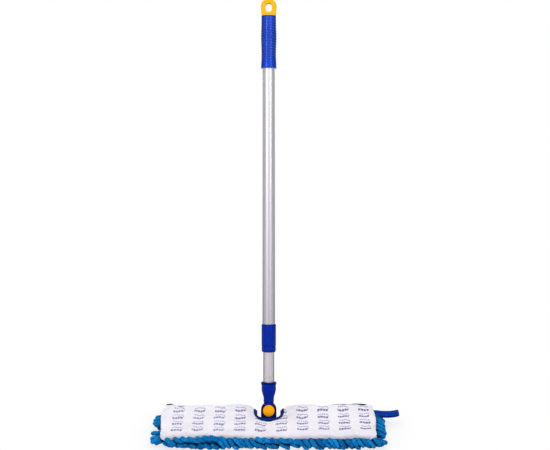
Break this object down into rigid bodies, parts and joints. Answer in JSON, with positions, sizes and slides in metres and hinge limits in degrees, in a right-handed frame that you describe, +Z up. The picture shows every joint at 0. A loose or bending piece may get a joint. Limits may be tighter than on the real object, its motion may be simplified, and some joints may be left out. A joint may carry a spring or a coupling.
{
  "type": "flat mop",
  "caption": "Flat mop with a two-sided sleeve pad notched around a two-axis swivel joint, a telescopic twist-lock handle, ribbed grip and hanging loop.",
  "frame": {"origin": "on the floor plane under the pad, on the mop's mid line, 10 mm in front of the root of the notch", "axes": "+Z up, +X along the pad's length to the pull-tab end, +Y towards the notched long edge, the way the handle leans back"},
  "size_m": [0.4876, 0.4059, 0.795],
  "materials": {
    "plate_plastic": "moulded plastic with a fine grain",
    "white_microfibre": "short looped cloth with printed marks",
    "pad_foam": "soft wadding",
    "blue_chenille": "soft twisted pile fingers",
    "navy_binding": "woven bias tape",
    "blue_webbing": "ribbed woven webbing",
    "closure_tape": "hook and loop tape",
    "pin_steel": "bright drawn",
    "blue_plastic": "smooth moulded, half gloss",
    "yellow_plastic": "smooth moulded, half gloss",
    "grey_plastic": "plain moulded",
    "tube_metal": "satin drawn tube",
    "grip_plastic": "soft ribbed moulding"
  },
  "bodies": {
    "handle_lower": {"handle_socket": "blue_plastic", "tube_insert": "grey_plastic", "lower_tube": "tube_metal", "lock_plug": "grey_plastic", "lock_stud": "grey_plastic"},
    "fork": {"swivel_block": "blue_plastic", "swivel_pin": "blue_plastic", "front_cap": "yellow_plastic", "rear_cap": "yellow_plastic"},
    "head": {"frame_plate": "plate_plastic", "upper_cloth": "white_microfibre", "wadding": "pad_foam", "lower_cloth": "white_microfibre", "chenille_pile": "blue_chenille", "upper_notch_binding": "navy_binding", "lower_notch_binding": "navy_binding", "rear_hem": "navy_binding", "pull_tab": "blue_webbing", "closure_hooks": "closure_tape", "closure_loops": "closure_tape", "tilt_pin": "pin_steel", "tilt_pin_clips": "pin_steel"},
    "lock_core": {"lock_expander": "grey_plastic"},
    "handle_upper": {"upper_tube": "tube_metal", "lock_collar": "blue_plastic", "collar_end_ring": "blue_plastic", "guide_bush": "grey_plastic", "grip_sleeve": "grip_plastic", "hanging_loop": "yellow_plastic"}
  },
  "joints": [
    {"name": "side_swivel", "type": "hinge", "parent": "handle_lower", "child": "fork", "pos_m": [0, 0.03992, 0.03756], "axis": [0, -0.9272, 0.3746], "range_deg": [-55, 55]},
    {"name": "head_tilt", "type": "hinge", "parent": "fork", "child": "head", "pos_m": [0, 0.0325, 0.0192], "axis": [1, 0, 0], "range_deg": [-22, 158]},
    {"name": "lock_twist", "type": "hinge", "parent": "handle_lower", "child": "lock_core", "pos_m": [0, 0.27217, 0.61241], "axis": [0, 0.3746, 0.9272], "range_deg": [0, 180]},
    {"name": "handle_telescope", "type": "slide", "parent": "lock_core", "child": "handle_upper", "axis": [0, 0.3746, 0.9272], "range_m": [-0.057, 0.36]}
  ]
}
